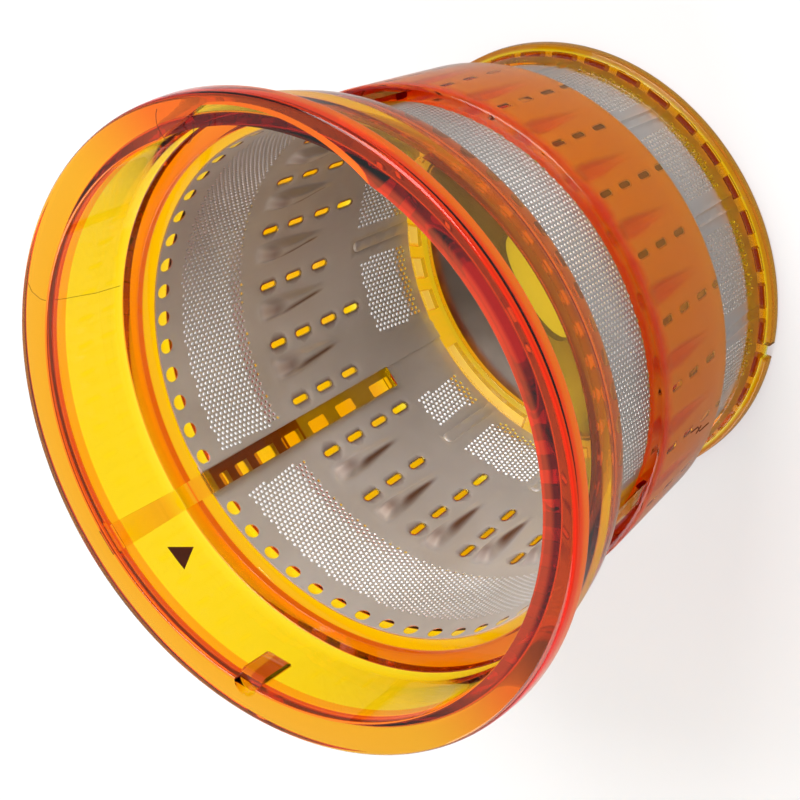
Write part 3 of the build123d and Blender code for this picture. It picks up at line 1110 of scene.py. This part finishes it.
def slot_shape(length, width, segments=5):
    """An upright slot with round ends."""
    r, straight = width / 2, length / 2 - width / 2
    shape = []
    for end in (1, -1):
        for i in range(segments + 1):
            a = math.pi * i / segments
            shape.append((end * r * math.cos(a), end * (straight + r * math.sin(a))))
    return shape


def window_shape(length, width, corner=0.35):
    """An upright rectangle with small round corners."""
    shape = []
    for x, y, first in ((1, 1, 0), (-1, 1, 90), (-1, -1, 180), (1, -1, 270)):
        for turn in (0, 45, 90):
            a = math.radians(first + turn)
            shape.append((
                x * (width / 2 - corner) + corner * math.cos(a),
                y * (length / 2 - corner) + corner * math.sin(a),
            ))
    return shape


def slot_places():
    """Around and down of every slot, in rows of three and four by turns."""
    return [
        (SLOT_FIRST + ROW_STEP * row, down)
        for row in range(24) for down in SLOT_DOWN[:3 + row % 2]
    ]


def lattice(top, low, inside):
    """Places of the fine holes: a flat lattice for each third, rolled with the sheet."""
    column = HOLE_PITCH * math.cos(math.pi / 6)
    apex = STEEL_TOP_Z - STEEL_TOP_R / STEEL_SLOPE
    sine, cosine = math.sin(SLANT), math.cos(SLANT)
    near = (HEIGHT - low - apex) / cosine
    far = (HEIGHT - top - apex) / cosine
    half = math.radians(60.0) * sine * far
    places = []
    columns = int(half / column)
    for i in range(-columns, columns + 1):
        x = column * i
        for j in range(int((near - 10.0) / HOLE_PITCH), int(far / HOLE_PITCH) + 2):
            y = HOLE_PITCH * (j + 0.5 * (i % 2))
            distance = math.hypot(x, y)
            if not near <= distance <= far:
                continue
            turn = math.degrees(math.atan2(x, y)) / sine
            down = HEIGHT - (apex + distance * cosine)
            for third in range(3):
                around = 60.0 + 120.0 * third + turn
                if inside(around, down):
                    places.append((around, down))
    return places


def in_upper_field(around, down):
    """Whether a fine hole is in one of the three upper fields."""
    return abs((around + 60.0) % 120.0 - 60.0) > 5.5 and 27.9 <= down <= 42.0


def in_lower_field(around, down):
    """Whether a fine hole is in one of the lower fields, between the tongues."""
    if not 71.2 <= down <= 82.3:
        return False
    if -8.0 < (around + 30.0) % 360.0 - 30.0 < 12.5:
        return False
    return abs((around - 8.0) % 30.0 - 15.0) < 10.5


def upper_sheet():
    """The cone's upper part, with the anchor holes and the upper fields."""
    work = Punching(21.8, SPLIT_DOWN)
    for place in lattice(27.0, 43.0, in_upper_field):
        work.outline(*place, circle_shape(HOLE_R, 6))
    for around in anchor_places():
        work.outline(around, ANCHOR_DOWN, circle_shape(ANCHOR_R, 20))
    for top, low in WINDOWS[:4]:
        work.outline(360.0, (top + low) / 2, window_shape(low - top, WINDOW_WIDTH))
    work.border()
    work.fill(2.0, 1.6, 22.5, 43.6)
    return work.sheet()


def near_ridge(around, down):
    """Whether a place is on a ridge or close beside it."""
    row, across = nearest_row(around, RIDGE_FIRST)
    return row % 24 != 23 and abs(across) < 3.6


def lower_sheet():
    """The cone's lower part, with the slots, the ridges, the tongues and the lower fields."""
    work = Punching(SPLIT_DOWN, HEIGHT - STEEL_LOW_Z)
    for place in lattice(70.0, 83.0, in_lower_field):
        work.outline(*place, circle_shape(HOLE_R, 6))
    for place in slot_places():
        work.outline(*place, slot_shape(SLOT_LENGTH, SLOT_WIDTH))
    for top, low in WINDOWS[4:]:
        work.outline(360.0, (top + low) / 2, window_shape(low - top, WINDOW_WIDTH))
    work.border()
    for around, down in slot_places():
        for spread in (0.8, 1.7, 2.6):
            shape = slot_shape(SLOT_LENGTH + spread, SLOT_WIDTH + spread, 6)
            work.around_shape(around, down, shape)
    for i in range(12):
        work.tongue(TONGUE_FIRST + 30.0 * i)
    work.fill(0.42, 0.7, 45.0, 63.8, near_ridge)
    work.fill(2.0, 1.6, 44.8, 83.0, lambda a, d: d > 64.0 or not near_ridge(a, d))
    return work.sheet()


def skirts():
    """The drawn edges of the slots, which reach outward into the plastic."""
    bm = bmesh.new()
    for around, down in slot_places():
        wide = math.degrees(1.0 / steel_r(HEIGHT - down))
        verts = []
        for x, y in slot_shape(SLOT_LENGTH, SLOT_WIDTH):
            verts.append(bm.verts.new(on_cone(around + x * wide, down + y, 0.25)))
        edges = [bm.edges.new((verts[i - 1], verts[i])) for i in range(len(verts))]
        out = bmesh.ops.extrude_edge_only(bm, edges=edges)
        moved = [g for g in out["geom"] if isinstance(g, bmesh.types.BMVert)]
        away = on_cone(around, down, SKIRT_REACH) - on_cone(around, down, 0.25)
        bmesh.ops.translate(bm, verts=moved, vec=away)
    bmesh.ops.recalc_face_normals(bm, faces=list(bm.faces))
    bmesh.ops.solidify(bm, geom=list(bm.faces), thickness=0.12)
    bmesh.ops.recalc_face_normals(bm, faces=list(bm.faces))
    return bm


def under_band(face):
    """Whether a face of the steel lies against the band's plastic."""
    x, y, z = face.center
    r = math.hypot(x, y)
    outward = face.normal.x * x + face.normal.y * y > 0.3 * r
    outward = outward or r > steel_r(z / MM, VISIBLE_SHEET + 0.03) * MM
    return outward and BAND_END_Z * MM < z < BAND_TOP_Z * MM


class STRAINER_OT_steel(bpy.types.Operator):
    """Make the punched and pressed steel cone"""

    bl_idname = "strainer.steel"
    bl_label = "Steel cone"

    def execute(self, context):
        mat = steel_material(context.scene.strainer)
        covered = covered_steel_material()
        lower = merged([lower_sheet(), skirts()])
        for name, bm in (("steel_upper", upper_sheet()), ("steel_lower", lower)):
            obj = finished(name, bm, mat, 40.0)
            obj.data.materials.append(covered)
            for face in obj.data.polygons:
                if under_band(face):
                    face.material_index = 1
            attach(obj, "root")
            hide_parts("steel_screen")
        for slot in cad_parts["bottom_plate"].material_slots:
            slot.material = plate_material()
        return {"FINISHED"}


class STRAINER_OT_stage(bpy.types.Operator):
    """Set up the floor, the lights and the camera"""

    bl_idname = "strainer.stage"
    bl_label = "Stage"

    def execute(self, context):
        scene = context.scene
        bm = bmesh.new()
        bmesh.ops.create_grid(bm, x_segments=1, y_segments=1, size=FLOOR_SIZE)
        floor = finished("studio_floor", bm, floor_material())
        world = bpy.data.worlds.new("studio")
        scene.world = world
        world.use_nodes = True
        sky(world)
        for name, place, size, power in LAMPS:
            data = bpy.data.lights.new(name, "AREA")
            data.size = size
            data.energy = power
            lamp = bpy.data.objects.new(name, data)
            lamp.location = place
            aim = Vector(LAMP_AIM) - Vector(place)
            lamp.rotation_euler = aim.to_track_quat("-Z", "Y").to_euler()
            scene.collection.objects.link(lamp)
        lens = bpy.data.cameras.new("photo_view")
        lens.lens = LENS
        lens.sensor_width = SENSOR
        lens.clip_end = 50.0
        camera = bpy.data.objects.new("photo_view", lens)
        camera.location = Vector(CAMERA_PLACE) * MM
        camera.rotation_euler = Euler([math.radians(a) for a in CAMERA_TURN])
        scene.collection.objects.link(camera)
        scene.camera = camera
        scene.view_settings.view_transform = "Standard"
        return {"FINISHED"}


class STRAINER_PT_panel(bpy.types.Panel):
    """Sizes, colours and the steps that make the strainer basket"""

    bl_idname = "STRAINER_PT_panel"
    bl_label = "Strainer basket"
    bl_space_type = "VIEW_3D"
    bl_region_type = "UI"
    bl_category = "Strainer"

    def draw(self, context):
        settings = context.scene.strainer
        for name in ("amber_tint", "amber_density", "steel_color", "turn_steps"):
            self.layout.prop(settings, name)
        for operator in OPERATORS:
            self.layout.operator(operator.bl_idname)


OPERATORS = (STRAINER_OT_amber_frame, STRAINER_OT_steel, STRAINER_OT_marks, STRAINER_OT_stage)
CLASSES = (StrainerSettings,) + OPERATORS + (STRAINER_PT_panel,)


def register():
    for cls in CLASSES:
        bpy.utils.register_class(cls)
    bpy.types.Scene.strainer = PointerProperty(type=StrainerSettings)


def unregister():
    del bpy.types.Scene.strainer
    for cls in reversed(CLASSES):
        bpy.utils.unregister_class(cls)


def main():
    register()
    bpy.ops.strainer.amber_frame()
    bpy.ops.strainer.steel()
    bpy.ops.strainer.marks()
    bpy.ops.strainer.stage()


if __name__ == "__main__":
    main()
